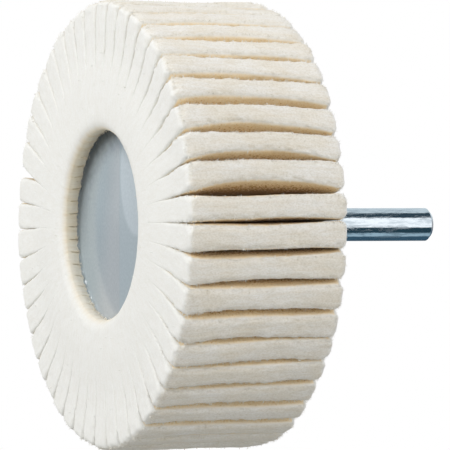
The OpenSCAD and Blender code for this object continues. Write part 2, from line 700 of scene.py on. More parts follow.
@dataclass(frozen=True)
class WheelSizes:
    """Sizes of the wheel in millimetres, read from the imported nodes.

    Attributes:
        flap_names: Names of the flaps' nodes, in order round the ring.
        flap_turns: Angle of each flap round the axis in radians, from +X towards +Z.
        rim_r: Outer radius of the wheel.
        hub_r: Radius of the hole that the flaps stand round.
        front_y: Front of the felt.
        rear_y: Rear of the felt.
        core_front_y: Furthest front of the core's node, which is the top of its fillet.
        core_rear_y: Rear of the core.
        key_r: Radius of the core's key.
        shank_r: Radius of the shank.
        shank_tip_y: Free end of the shank.
        anchor_y: Anchored end of the shank.
    """

    flap_names: tuple[str, ...]
    flap_turns: tuple[float, ...]
    rim_r: float
    hub_r: float
    front_y: float
    rear_y: float
    core_front_y: float
    core_rear_y: float
    key_r: float
    shank_r: float
    shank_tip_y: float
    anchor_y: float

    @classmethod
    def read(cls) -> "WheelSizes":
        """Measures the nodes.

        Returns:
            The sizes. The hub radius is the shortest distance of a flap's vertices from the axis, and a
            flap's turn is the angle of the middle of its outer end.
        """
        names = tuple(sorted(n for n in frame["nodes"] if n.startswith("flap_")))
        turns, near, far = [], [], []
        for name in names:
            mesh = frame["nodes"][name].data
            co = np.zeros(len(mesh.vertices) * 3, np.float32)
            mesh.vertices.foreach_get("co", co)
            co = co.reshape(-1, 3) / MM
            low, high = co.min(0), co.max(0)
            radius = np.hypot(co[:, 0], co[:, 2])
            outer = co[radius > radius.max() - 0.05]
            turns.append(math.atan2(outer[:, 2].mean(), outer[:, 0].mean()))
            near.append(radius.min())
            far.append(radius.max())
        core_low, core_high = (np.array(c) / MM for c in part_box("resin_core"))
        shank_low, shank_high = (np.array(c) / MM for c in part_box("shank"))
        return cls(
            flap_names=names,
            flap_turns=tuple(turns),
            rim_r=float(np.median(far)),
            hub_r=float(np.median(near)),
            front_y=float(low[1]),
            rear_y=float(high[1]),
            core_front_y=float(core_low[1]),
            core_rear_y=0.0,
            key_r=float(core_high[0]),
            shank_r=SHANK_R_MM,
            shank_tip_y=float(shank_high[1]),
            anchor_y=float(shank_low[1]),
        )

    @property
    def mid_y(self) -> float:
        """Middle of the felt along the axis."""
        return 0.5 * (self.front_y + self.rear_y)

    @property
    def width(self) -> float:
        """Width of the felt along the axis."""
        return self.rear_y - self.front_y


# ---------------------------------------------------------------- felt flaps


@dataclass(frozen=True)
class FlapSet:
    """How one flap has taken its set, in millimetres at the rim, all towards rising angle.

    Attributes:
        lean: Offset of the whole outer end.
        bow: Further offset of the middle of its width.
        twist: Further offset of the rear end, and the opposite at the front end.
        splay: How much thicker it is at both ends of its width than the plain felt.
        waist: How much thinner it is in the middle of its width, on the side of falling angle.
        reach: How much longer than the others it is.
    """

    lean: float = 0.0
    bow: float = 0.3
    twist: float = 0.0
    splay: float = 0.2
    waist: float = 0.2
    reach: float = 0.0


@dataclass
class FeltFlaps:
    """The ring of felt flaps, each a skin bent from a block.

    A block vertex has a place along the flap, through it and across it. The flap's centre line turns
    with lean, bow and twist, more towards the rim, and its thickness is the felt's own or what its
    neighbours leave, whichever is less. Edges are rounded by an ellipsoid, the skin is lumpy, and stray
    fibres stand out of it. The flaps that face +X are the most worn, and their edges the most frayed.

    Attributes:
        sizes: Sizes of the wheel.
        felt: Finish of the flaps.
        thickness: Thickness of the felt sheet.
        steps: Steps of the block along, through and across the flap.
        bend_from_r: Radius where a flap begins to lean and bow.
        bend_power: How the lean grows from there to the rim.
        notch_w: Width of the notch that the core's key lies in.
        bulge: How far the front swells where the flaps are squeezed together near the hub.
        lip: How far the front inner edge reaches into the hole.
        opening_r: Radii between which the joints open.
        parting_r: Radii between which the edges along the joints get round.
        loose_turn: Where round the ring the joints open furthest in.
        loose_shift: How much further in both ends of those radii are there.
        dense_power: How much closer the steps are towards the rim.
        gap_shade_depth_mm: Depth in a gap at which its painted shade is the deepest.
        pattern_step_mm: How far apart the felt's pattern is taken for one flap and the next.
        fibre_count: Most stray fibres on a flap.
        fibres_a_share: Stray fibres for each unit of fuzz, summed over the vertices.
        fibre_mm: Shortest and longest fibre.
        fibre_w: Middle thickness of a fibre.
        seed: Seed of the flaps' random sets.
        fibre_seed: Seed of the first flap's fibres.
        noted: Sets of single flaps, by number, that are known and not drawn at random.
    """

    sizes: WheelSizes
    felt: bpy.types.Material
    thickness: float = 4.6
    steps: tuple[int, int, int] = (40, 14, 84)
    bend_from_r: float = 20.0
    bend_power: float = 1.3
    notch_w: float = 6.0
    bulge: float = 0.6
    lip: float = 0.5
    opening_r: tuple[float, float] = (26.0, 38.5)
    parting_r: tuple[float, float] = (25.5, 34.0)
    loose_turn: float = math.radians(50.0)
    loose_shift: tuple[float, float] = (2.5, 3.0)
    dense_power: float = 1.5
    gap_shade_depth_mm: float = 9.0
    pattern_step_mm: float = 20.0
    fibre_count: int = 900
    fibres_a_share: float = 0.75
    fibre_mm: tuple[float, float] = (0.15, 0.42)
    fibre_w: float = 0.075
    seed: int = 46
    fibre_seed: int = 1000
    noted: dict[int, FlapSet] = field(
        default_factory=lambda: {
            -6: FlapSet(0.25, 0.25, 0.70, 0.5, 0.2),
            -5: FlapSet(-0.15, 0.20, 0.60, 0.5, 0.2),
            -4: FlapSet(-0.60, 0.15, 0.50, 0.6, 0.2),
            -3: FlapSet(-0.40, 0.10, 0.55, 0.6, 0.3),
            -2: FlapSet(-0.25, 0.00, 0.50, 0.6, 0.3),
            -1: FlapSet(0.20, -0.40, 0.30, 0.7, 0.1, 0.3),
            0: FlapSet(-0.40, 0.00, 0.20, 0.3, 0.35, 0.3),
            1: FlapSet(-0.05, 0.65, 0.10, 1.2, 0.5),
            2: FlapSet(-0.43, 0.90, -0.12, 0.8, 0.7),
            3: FlapSet(-0.45, 0.90, -0.50, 0.6, 0.6),
            4: FlapSet(0.00, 0.55, -0.75, 0.6, 0.5),
            20: FlapSet(-0.65, 0.20, 0.10, 0.3, 0.3),
            21: FlapSet(0.85, 0.20, 0.00, 0.2, 0.3),
            22: FlapSet(0.15, 0.30, 0.00, 0.5, 0.3),
            23: FlapSet(0.25, 0.20, 0.00, 0.5, 0.2),
        }
    )

    def __post_init__(self) -> None:
        """Draws the set of every flap, and puts in the ones that are noted by number."""
        random = np.random.default_rng(self.seed)
        self.sets = []
        for turn in self.sizes.flap_turns:
            lean, twist = self.slow_waves(turn)
            self.sets.append(
                FlapSet(
                    lean=lean + random.normal(0.0, 0.14),
                    bow=random.uniform(0.15, 0.6),
                    twist=twist + random.normal(0.0, 0.1),
                    splay=random.uniform(0.6, 1.1),
                    waist=random.uniform(0.15, 0.5),
                    reach=random.normal(0.0, 0.1),
                )
            )
        for number, noted in self.noted.items():
            self.sets[number % len(self.sets)] = noted

    def slow_waves(self, turn: float) -> tuple[float, float]:
        """Lean and twist that whole groups of flaps share: one, two and three waves round the ring.

        Args:
            turn: Angle of the flap round the axis.

        Returns:
            The lean and the twist in millimetres.
        """
        lean = -0.5 + 0.4 * math.cos(turn) + 0.5 * math.sin(turn) + 0.5 * math.cos(2.0 * turn)
        lean += -0.7 * math.sin(2.0 * turn) - 0.3 * math.cos(3.0 * turn)
        return lean, -0.85 * math.sin(2.0 * turn)

    def across(self, y: np.ndarray) -> np.ndarray:
        """Place across the width, from -1 at the front to 1 at the rear."""
        return (y - self.sizes.mid_y) / (0.5 * self.sizes.width)

    def centre_turn(self, number: int, radius: np.ndarray, y: np.ndarray) -> np.ndarray:
        """Angle of a flap's middle at a radius and a y.

        The offset in millimetres is lean + bow (1 - q^2) + twist q, for q across the width, times a
        power of the share of the way from the bend's start to the rim, over the radius of the rim.

        Args:
            number: Number of the flap, counted round from 0, which may run past the last.
            radius: Radii in millimetres.
            y: Places along the axis in millimetres.

        Returns:
            Angles in radians, without jumps between neighbours.
        """
        count = len(self.sets)
        base = self.sizes.flap_turns[0] + number * 2.0 * math.pi / count
        flap = self.sets[number % count]
        q = self.across(y)
        phase = number % count
        ripple = 0.08 * np.sin(2.1 * q + 1.7 * phase) + 0.06 * np.sin(5.3 * q + 2.9 * phase)
        offset = flap.lean + flap.bow * (1.0 - q * q) + flap.twist * q + ripple
        share = np.clip((radius - self.bend_from_r) / (self.sizes.rim_r - self.bend_from_r), 0.0, 1.2)
        return base + offset * share**self.bend_power / self.sizes.rim_r

    def half_thickness(self, number: int, side: int, radius: np.ndarray, y: np.ndarray) -> np.ndarray:
        """Distance from a flap's middle to its face, on the side of rising or falling angle.

        Args:
            number: Number of the flap.
            side: 1 for the side of rising angle and -1 for the other.
            radius: Radii in millimetres.
            y: Places along the axis in millimetres.

        Returns:
            A smooth minimum of the felt's own half thickness and half of the way to the neighbour's middle.
        """
        flap = self.sets[number % len(self.sets)]
        q = self.across(y)
        splay = flap.splay * (0.8 if side > 0 else 1.0) * np.where(q < 0, 1.0, 0.55)
        waist = flap.waist * (0.1 if side > 0 else 1.0) * smoothstep(radius, 30.0, self.sizes.rim_r)
        own = 0.5 * self.thickness + splay * q**4 - waist * (1.0 - q * q)
        apart = self.centre_turn(number + side, radius, y) - self.centre_turn(number, radius, y)
        room = 0.5 * np.abs(apart) * radius
        soft = 0.1
        return 0.5 * (own + room - np.sqrt((own - room) ** 2 + soft * soft))

    def block(self) -> tuple[BlockShell, np.ndarray, np.ndarray, np.ndarray]:
        """Makes the skin of the block that every flap is bent from.

        Returns:
            The skin, and the places of its vertices along, through and across the flap. They are closer
            together near the edges: the even steps are mixed with their own sine, or raised to a power.
        """
        shell = BlockShell.build(self.steps)
        along, through, across = (np.linspace(0.0, 1.0, n + 1) for n in self.steps)
        along = 1.0 - (1.0 - along) ** self.dense_power
        through = 2.0 * through - 1.0
        through = 0.7 * through + 0.3 * np.sin(0.5 * math.pi * through)
        across = 2.0 * across - 1.0
        across = 0.8 * across + 0.2 * np.sin(0.5 * math.pi * across)
        return shell, along[shell.index[:, 0]], through[shell.index[:, 1]], across[shell.index[:, 2]]

    def parted(self, radius: np.ndarray, between: tuple[float, float], loose: float) -> np.ndarray:
        """Share from 0 where the flaps are pressed together to 1 where they stand apart.

        Args:
            radius: Radii in millimetres.
            between: Radii of both ends of the change, where the flaps are tight.
            loose: Share from 0 to 1 of how loose the ring is at this flap.

        Returns:
            A smooth step between those radii, which lie further in where the ring is loose.
        """
        start, end = (r - shift * loose for r, shift in zip(between, self.loose_shift))
        return smoothstep(radius, start, end)

    def ends(self, number: int, y: np.ndarray, across: np.ndarray) -> tuple[np.ndarray, np.ndarray]:
        """Radii of a flap's inner and outer end.

        Args:
            number: Number of the flap.
            y: Places along the axis in millimetres.
            across: Places from -1 at the front to 1 at the rear.

        Returns:
            The inner radius, which is the key's in the notch and has a lip at the front, and the outer.
        """
        sizes = self.sizes
        in_notch = np.abs(y - sizes.mid_y) < 0.5 * self.notch_w
        lip = self.lip * smoothstep(-y, -(sizes.front_y + 3.3), -(sizes.front_y + 1.2))
        inner = np.where(in_notch, sizes.key_r, sizes.hub_r - lip)
        outer = sizes.rim_r + self.sets[number].reach + 0.1 * np.sin(3.0 * across + number)
        return inner, outer

    def edge_radii(
        self,
        along: np.ndarray,
        across: np.ndarray,
        radius: np.ndarray,
        outer: np.ndarray,
        worn: float,
        loose: float,
    ) -> np.ndarray:
        """How round a flap's edges are along it, through it and across it, in millimetres.

        Edges are a few tenths of a millimetre round where the felt is pressed together. They get rounder
        where the joints open and most of all at the rim, where the wheel has worn.

        Args:
            along: Places from 0 at the hub to 1 at the rim.
            across: Places from -1 at the front to 1 at the rear.
            radius: Radii in millimetres.
            outer: Radii of the outer end in millimetres.
            worn: Share from 0 to 1 of how worn this flap is.
            loose: Share from 0 to 1 of how loose the ring is at this flap.

        Returns:
            Three radii for each vertex.
        """
        opening = self.parted(radius, self.opening_r, loose)
        near_rim = smoothstep(radius, outer - 3.5, outer - 0.8)
        near_hub = 1.0 - smoothstep(radius, self.sizes.hub_r + 0.3, self.sizes.hub_r + 2.2)
        ahead = smoothstep(-across, -0.4, 0.4)
        at_ends = np.where(along > 0.5, 0.8 + ahead * (0.6 * worn - 0.1), 0.5)
        rim_through = 0.85 - 0.4 * ahead * (1.0 - worn) + 0.3 * (1.0 - ahead)
        at_joints = 0.15 + (0.2 + 0.35 * loose * ahead) * opening + rim_through * near_rim
        in_front = 0.3 + 0.4 * opening + (0.5 + 1.2 * worn) * near_rim + 1.1 * near_hub
        behind = 0.3 + 1.7 * near_rim
        return np.stack([at_ends, at_joints, np.where(across < 0, in_front, behind)], axis=1)

    def swell(self, world: np.ndarray, frayed: np.ndarray) -> np.ndarray:
        """How far the skin stands out, in millimetres: lumps of three sizes, and ragged edges.

        Args:
            world: Places in millimetres.
            frayed: Share from 0 to 1 of how frayed the felt is there.

        Returns:
            One distance for each vertex.
        """
        swell = 0.14 * lumps(world, (7.0, 7.0, 6.0), 1) + 0.06 * lumps(world, (1.9, 1.9, 1.2), 2)
        swell += 0.05 * lumps(world, (0.7, 0.9, 0.55), 3)
        return swell + frayed * (0.26 * lumps(world, (0.8, 0.75, 0.8), 4) + 0.04)

    def placed(self, number: int, moved: np.ndarray) -> tuple[np.ndarray, np.ndarray]:
        """Puts vertices in the ring: (r cos a, y, r sin a), where a is the flap's middle plus offset / r.

        Args:
            number: Number of the flap.
            moved: Radius, offset from the flap's middle and y of each vertex, in millimetres.

        Returns:
            The places in millimetres, and the angles a.
        """
        turn = self.centre_turn(number, moved[:, 0], moved[:, 2]) + moved[:, 1] / moved[:, 0]
        return np.stack([moved[:, 0] * np.cos(turn), moved[:, 2], moved[:, 0] * np.sin(turn)], axis=1), turn

    def shape(
        self, number: int, along: np.ndarray, through: np.ndarray, across: np.ndarray
    ) -> dict[str, np.ndarray]:
        """Bends the block into one flap.

        A vertex that lies within an edge's radius of a side is outside the shrunken block by a vector.
        It is put back to the edge radii times the unit vector of it. Lumps then push the skin along
        that vector, and less on the faces that touch the neighbours.

        Args:
            number: Number of the flap.
            along: Places from 0 at the hub to 1 at the rim.
            through: Places from -1 to 1 through the flap.
            across: Places from -1 at the front to 1 at the rear.

        Returns:
            The vertices in metres, their outward vectors, their shares of fuzz, and the values of the
            material's attributes.
        """
        sizes = self.sizes
        y = sizes.mid_y + 0.5 * sizes.width * across
        inner, outer = self.ends(number, y, across)
        radius = inner + (outer - inner) * along
        side = np.where(through >= 0, 1, -1)
        half = np.where(
            side > 0, self.half_thickness(number, 1, radius, y), self.half_thickness(number, -1, radius, y)
        )
        worn = 0.5 + 0.5 * math.cos(sizes.flap_turns[number])
        loose = 0.5 + 0.5 * math.cos(sizes.flap_turns[number] - self.loose_turn)
        opening = self.parted(radius, self.opening_r, loose)
        rounds = self.edge_radii(along, across, radius, outer, worn, loose)
        inside = np.stack(
            [
                np.minimum(outer - radius, radius - inner),
                half - np.abs(through) * half,
                0.5 * sizes.width - np.abs(y - sizes.mid_y),
            ],
            axis=1,
        )
        out = np.clip(1.0 - inside / rounds, 0.0, 1.0)
        on_wall = (out[:, 0] > 0) & (along < 0.5) & (out[:, 2] < 0.2)
        out[:, 1] *= np.where(on_wall, 1.0, self.parted(radius, self.parting_r, loose))
        unit = out / np.maximum(np.linalg.norm(out, axis=1), 1e-9)[:, None]
        signs = np.stack([np.where(along > 0.5, 1.0, -1.0), side.astype(float), np.sign(across)], axis=1)
        moved = np.stack([radius, through * half, y], axis=1) + signs * rounds * (unit - out)

        # Edges, where two sides meet, are frayed, and the skin swells less where neighbours touch it
        frayed = np.clip(np.sort(out, axis=1)[:, 1], 0.0, 1.0) * opening
        swell = self.swell(self.placed(number, moved)[0], frayed * (0.2 + 0.8 * worn))
        flank = unit[:, 1] ** 2
        push = (1.0 - flank) * swell + flank * opening * (0.8 * swell - 0.03 - 0.05 * worn)
        moved = moved + (push * (0.4 + 0.6 * opening))[:, None] * unit * signs

        # Near the hub, the squeezed felt bulges out of the front, and half as much out of the rear
        squeezed = smoothstep(-radius, -33.0, -22.0)
        squeezed *= smoothstep(radius, sizes.hub_r - 1.0, sizes.hub_r + 1.5)
        bulge = np.where(across < 0, -self.bulge, 0.5 * self.bulge)
        moved[:, 2] += bulge * squeezed * smoothstep(np.abs(across), 0.6, 1.0)
        points, turn = self.placed(number, moved)
        at_foot = (along < 0.01) & (np.abs(y - sizes.core_front_y) < 0.6)
        # Share of the way into a gap between flaps, which the felt darkens with as painted shade
        gap_shade_share = np.clip(np.minimum(inside[:, 0], inside[:, 2]) / self.gap_shade_depth_mm, 0.0, 1.0)
        return {
            "points": points * MM,
            "outward": self.outward(unit * signs, turn),
            "fuzz": frayed**2 * (0.1 + 0.9 * worn) + 0.02 * (flank < 0.5) + 1.2 * at_foot,
            "flap_mm": moved + np.array([0.0, self.pattern_step_mm * number, 0.0]),
            "rim": smoothstep(unit[:, 0] * signs[:, 0], 0.35, 0.95),
            "gap_depth": gap_shade_share * smoothstep(unit[:, 1], 0.05, 0.8),
            "soak": self.soak(moved[:, 0], turn, through),
        }

    def soak(self, radius: np.ndarray, turn: np.ndarray, through: np.ndarray) -> np.ndarray:
        """How much the felt is wet with resin, plus painted shade: the share is larger high in the ring,
        where the hub wall lies in shade.

        Args:
            radius: Radii in millimetres.
            turn: Angle of each vertex round the axis.
            through: Places from -1 to 1 through the flap.

        Returns:
            Shares from 0 to 1, which are 0 away from the hub, and least low in the ring.
        """
        at_hub = smoothstep(-radius, -(self.sizes.hub_r + 0.5), -(self.sizes.hub_r - 0.3))
        # Larger high in the ring, as painted shade on the hub wall
        return (0.6 + 0.4 * smoothstep(np.sin(turn), -0.6, 0.0)) * at_hub * (0.8 + 0.2 * through**2)

    def outward(self, local: np.ndarray, turn: np.ndarray) -> np.ndarray:
        """Turns vectors along, through and across a flap into the frame's axes.

        Args:
            local: Vectors, three in a row.
            turn: Angle of each vertex round the axis.

        Returns:
            The same vectors in the frame's axes.
        """
        zero = np.zeros_like(turn)
        radial = np.stack([np.cos(turn), zero, np.sin(turn)], axis=1)
        tangent = np.stack([-np.sin(turn), zero, np.cos(turn)], axis=1)
        return local[:, :1] * radial + local[:, 1:2] * tangent + local[:, 2:] * np.array([0.0, 1.0, 0.0])

    def stray_fibres(
        self, number: int, shaped: dict[str, np.ndarray]
    ) -> tuple[np.ndarray, list[np.ndarray], np.ndarray]:
        """Fine curved fibres that stand out of the skin, most of them along the worn edges.

        A fibre's middle line is root + length (t d + t^2 b), for t from 0 to 1, a direction d and a bend b
        at right angles to it. It has three sides, gets thinner to a point, and starts a little under the
        skin. Each one is a closed shell of ten vertices and ten faces.

        Args:
            number: Number of the flap.
            shaped: The flap's vertices, outward vectors and shares of fuzz.

        Returns:
            Vertices in metres, groups of faces numbered from 0, and for each vertex, the vertex of the
            skin that its fibre grows from.
        """
        random = np.random.default_rng(self.fibre_seed + number)
        weight = shaped["fuzz"]
        count = int(min(self.fibre_count, weight.sum() * self.fibres_a_share))
        roots = random.choice(len(weight), count, p=weight / weight.sum())
        lead = shaped["outward"][roots] + random.normal(0.0, 0.55, (count, 3))
        lead /= np.linalg.norm(lead, axis=1)[:, None]
        bend = random.normal(0.0, 0.45, (count, 3))
        bend -= (bend * lead).sum(axis=1)[:, None] * lead
        length = random.uniform(self.fibre_mm[0], self.fibre_mm[1], (count, 1)) * MM
        across = np.cross(lead, random.normal(0.0, 1.0, (count, 3)))
        across /= np.linalg.norm(across, axis=1)[:, None]
        beside = np.cross(lead, across)
        base = shaped["points"][roots] + random.uniform(-0.15, 0.15, (count, 3)) * MM
        half_w = 0.5 * self.fibre_w * MM * np.exp(random.normal(0.0, 0.45, (count, 1)))
        rings = []
        for t, width in ((-0.15, 1.0), (0.45, 0.8), (0.8, 0.5)):
            middle = base + length * (t * lead + t * abs(t) * bend)
            for corner in np.arange(3) * (2.0 * math.pi / 3.0):
                spoke = math.cos(corner) * across + math.sin(corner) * beside
                rings.append(middle + half_w * width * spoke)
        rings.append(base + length * (lead + bend))
        points = np.stack(rings, axis=1).reshape(-1, 3)
        low = np.array([[0, 1, 4, 3], [1, 2, 5, 4], [2, 0, 3, 5]])
        side = np.concatenate([low, low + 3])
        ends = np.array([[6, 7, 9], [7, 8, 9], [8, 6, 9], [0, 2, 1]])
        first = (np.arange(count) * 10)[:, None, None]
        groups = [(first + side).reshape(-1, 4), (first + ends).reshape(-1, 3)]
        return points, groups, np.repeat(roots, 10)

    def build(self) -> list[bpy.types.Object]:
        """Returns:
            The flaps, in order round the ring.
        """
        shell, along, through, across = self.block()
        made = []
        for number, name in enumerate(self.sizes.flap_names):
            shaped = self.shape(number, along, through, across)
            fibres, groups, roots = self.stray_fibres(number, shaped)
            start = len(shaped["points"])
            points = np.concatenate([shaped["points"], fibres])
            # along, through and across are left-handed here, so the skin's faces are turned round
            faces = [shell.faces[:, ::-1]] + [group + start for group in groups]
            piece = mesh_piece(f"felt_{name}", points, faces, self.felt)
            for key in ("flap_mm", "rim", "gap_depth", "soak"):
                on_fibres = shaped[key][roots]
                if key == "gap_depth":
                    on_fibres = 0.0 * on_fibres
                set_attribute(piece, key, np.concatenate([shaped[key], on_fibres]))
            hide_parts(name)
            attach(piece, "root")
            made.append(piece)
        return made


# ---------------------------------------------------------------- resin core


@dataclass
class ResinCore:
    """The cast core: a disc whose edge crept a little way up the felt, with a key round its middle.

    The creeping edge is y0 + creep (r / R)^p, and it rises and falls along the felt. The bore fits the
    shank, and is wider round the knurl.

    Attributes:
        sizes: Sizes of the wheel.
        resin: Finish of the core.
        around: Points in each ring.
        rings: Rings on each face.
        creep: Height of the creeping edge.
        creep_power: How steeply it rises.
        beads: Height of the long and the short rises and falls along that edge.
        reflection_edge_x: Where the painted reflection band begins.
        reflection_patch_at: Middle of the brighter painted reflection patch on that band, as x and z.
        reflection_patch_size: Half of its length along both.
        shadow_paint_turn: Where round the edge the painted shadow is darkest.
        shadow_paint_r: Radii between which the painted shadow gets darker.
        key_w: Width of the key that lies in the flaps' notches.
        bore_gap: Room between the bore and the shank.
        knurl_room: Further room round the knurl.
    """

    sizes: WheelSizes
    resin: bpy.types.Material
    around: int = 552
    rings: int = 70
    creep: float = 0.45
    creep_power: int = 45
    beads: tuple[float, float] = (0.24, 0.14)
    reflection_edge_x: float = 1.7
    reflection_patch_at: tuple[float, float] = (9.6, 9.0)
    reflection_patch_size: tuple[float, float] = (7.7, 11.0)
    shadow_paint_turn: float = math.radians(112.0)
    shadow_paint_r: tuple[float, float] = (11.5, 17.4)
    key_w: float = 6.0
    bore_gap: float = 0.02
    knurl_room: float = 0.22

    def profile(self) -> np.ndarray:
        """Runs from the front pole over the front, the key and the rear to the bottom of the shank's hole.

        Returns:
            Radius and y of each point in millimetres.
        """
        s = self.sizes
        r = s.hub_r * np.sin(np.linspace(0.0, 0.5 * math.pi, self.rings)) ** 0.8
        rise = self.creep * (r / s.hub_r) ** self.creep_power
        front = np.stack([r, s.core_front_y + 0.05 - rise], axis=1)
        half_key = 0.5 * self.key_w
        corners = [
            (s.hub_r, s.core_front_y),
            (s.hub_r, s.mid_y - half_key),
            (s.key_r, s.mid_y - half_key),
            (s.key_r, s.mid_y + half_key),
            (s.hub_r, s.mid_y + half_key),
            (s.hub_r, s.core_rear_y),
        ]
        side = crisp(corners, 0.1)[1:-1]
        bore = s.shank_r + self.bore_gap
        back_r = r[::-1][r[::-1] > bore + 0.5]
        back_rise = self.creep * (back_r / s.hub_r) ** self.creep_power
        back = np.stack([back_r, s.core_rear_y - 0.05 + back_rise], axis=1)
        collar = np.array([(bore + 0.35, 0.02), (bore + 0.12, 0.14), (bore, 0.3)])
        wide = bore + self.knurl_room
        bottom = s.anchor_y - 0.05
        hole = crisp([(bore, 0.3), (bore, -0.6), (wide, -1.0), (wide, bottom), (0.0, bottom)], 0.1)
        return np.concatenate([front, side, back, collar, hole[1:]])

    def painted_light_shares(self, points: np.ndarray) -> dict[str, np.ndarray]:
        """Shares from 0 to 1 of the painted light and shade on the front of the resin.

        A lighter tone fades in along X up to a straight edge, taking away the painted shade at the upper
        left; past that edge lies a painted reflection band, and a brighter painted reflection patch on it
        is an ellipse with a soft rim. A painted shadow darkens the upper left edge of the front.

        Args:
            points: Vertices of the core in millimetres.

        Returns:
            The share of each painted tone on each vertex.
        """
        x, z = points[:, 0], points[:, 2]
        past_edge = smoothstep(x, self.reflection_edge_x - 0.25, self.reflection_edge_x + 0.25)
        (patch_x, patch_z), (half_x, half_z) = self.reflection_patch_at, self.reflection_patch_size
        away = np.hypot((x - patch_x) / half_x, (z - patch_z) / half_z)
        radius = np.hypot(x, z)
        upper_left = x * math.cos(self.shadow_paint_turn) + z * math.sin(self.shadow_paint_turn)
        upper_left = upper_left / np.maximum(radius, 1.0)
        rim_share = smoothstep(radius + 0.5 * lumps(points, (0.8, 9.0, 0.8), 14), *self.shadow_paint_r)
        in_front = (points[:, 1] < self.sizes.mid_y).astype(float)
        return {
            # Painted shade fading out towards the lower right, then a painted reflection band and its
            # brighter patch
            "middle_pour": smoothstep(x - 0.25 * z, -9.0, 0.0) * (1.0 - past_edge) * in_front,
            "last_pour": past_edge * in_front,
            "pool": past_edge * smoothstep(-away, -1.03, -0.93) * in_front,
            # Painted shadow of the recess wall along the upper left edge of the front
            "grime": 0.95 * np.clip(upper_left, 0.0, 1.0) * rim_share * in_front,
        }

    def build(self) -> bpy.types.Object:
        """Turns the profile and pulls the creeping edges up and down between the flaps.

        Returns:
            The core.
        """
        s = self.sizes
        points, turn = turned_points(self.profile(), self.around)
        radius = np.hypot(points[:, 0], points[:, 2])
        edge = smoothstep(radius, s.hub_r - 0.7, s.hub_r - 0.02)
        phase = (turn - s.flap_turns[0]) * len(s.flap_names)
        place = np.stack([points[:, 0], points[:, 1] * 0.1, points[:, 2]], axis=1)
        beads = self.beads[0] * lumps(place, (0.8, 9.0, 0.8), 11)
        beads += self.beads[1] * lumps(place, (0.4, 9.0, 0.4), 13)
        face = np.where(points[:, 1] < s.mid_y, -1.0, 1.0)
        on_face = (points[:, 1] < s.core_front_y + 0.3) | (points[:, 1] > s.core_rear_y - 0.3)
        on_face &= radius > s.shank_r + 0.6
        on_face |= points[:, 1] < s.core_front_y + 0.3
        points[:, 1] += face * on_face * edge * (0.08 * np.cos(phase) + beads)
        points[:, 1] += face * on_face * (1.0 - edge) * 0.03 * lumps(place, (6.0, 9.0, 8.0), 12)
        faces = turned_faces(len(self.profile()) - 2, self.around)
        piece = mesh_piece("cast_resin_core", points * MM, faces, self.resin)
        for name, share in self.painted_light_shares(points).items():
            set_attribute(piece, name, share)
        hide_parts("resin_core")
        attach(piece, "root")
        return piece


# ---------------------------------------------------------------- shank


@dataclass
class Shank:
    """The steel shank: plain outside the core, and knurled with a ring groove where the resin holds it.

    The knurl's radius is the plain one plus h (2 s - 1) / 2, where the saw wave s falls from 1 to 0 and
    rises to 1 again over each ridge.

    Attributes:
        sizes: Sizes of the wheel.
        steel: Finish of the shank.
        around: Points in each ring.
        chamfer: Chamfer round the free end.
        ridges: Number of ridges of the knurl.
        ridge_h: Height of a ridge.
        groove_w: Width of the ring groove and of the neck.
        groove_depth: Depth of both below the ridges' feet.
        lip: Distance of the points that keep each corner sharp.
    """

    sizes: WheelSizes
    steel: bpy.types.Material
    around: int = 192
    chamfer: float = 0.6
    ridges: int = 24
    ridge_h: float = 0.35
    groove_w: float = 1.5
    groove_depth: float = 0.4
    lip: float = 0.06

    def build(self) -> bpy.types.Object:
        """Turns the profile and cuts the ridges into its knurled bands.

        Returns:
            The shank.
        """
        s = self.sizes
        foot_r = s.shank_r - 0.5 * self.ridge_h
        groove_r = foot_r - self.groove_depth
        groove_y = 0.5 * (s.anchor_y - self.groove_w)
        half = 0.5 * self.groove_w
        corners = [
            (0.0, s.anchor_y),
            (s.shank_r, s.anchor_y),
            (s.shank_r, groove_y - half),
            (groove_r, groove_y - half),
            (groove_r, groove_y + half),
            (s.shank_r, groove_y + half),
            (s.shank_r, -self.groove_w),
            (groove_r, -self.groove_w),
            (groove_r, 0.0),
            (s.shank_r, 0.0),
            (s.shank_r, s.shank_tip_y - self.chamfer),
            (s.shank_r - self.chamfer, s.shank_tip_y),
            (0.0, s.shank_tip_y),
        ]
        profile = crisp(corners, self.lip)
        points, turn = turned_points(profile, self.around)
        radius = np.hypot(points[:, 0], points[:, 2])
        knurled = (points[:, 1] < -0.5 * self.groove_w) & (radius > foot_r)
        saw = np.abs(2.0 * np.modf(turn * self.ridges / (2.0 * math.pi) + 0.5 / self.around)[0] - 1.0)
        grown = np.where(knurled, 1.0 + 0.5 * self.ridge_h * (2.0 * saw - 1.0) / s.shank_r, 1.0)
        points[:, 0] *= grown
        points[:, 2] *= grown
        faces = turned_faces(len(profile) - 2, self.around)
        piece = mesh_piece("steel_shank", points * MM, faces, self.steel)
        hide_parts("shank")
        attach(piece, "root")
        return piece


# ---------------------------------------------------------------- studio


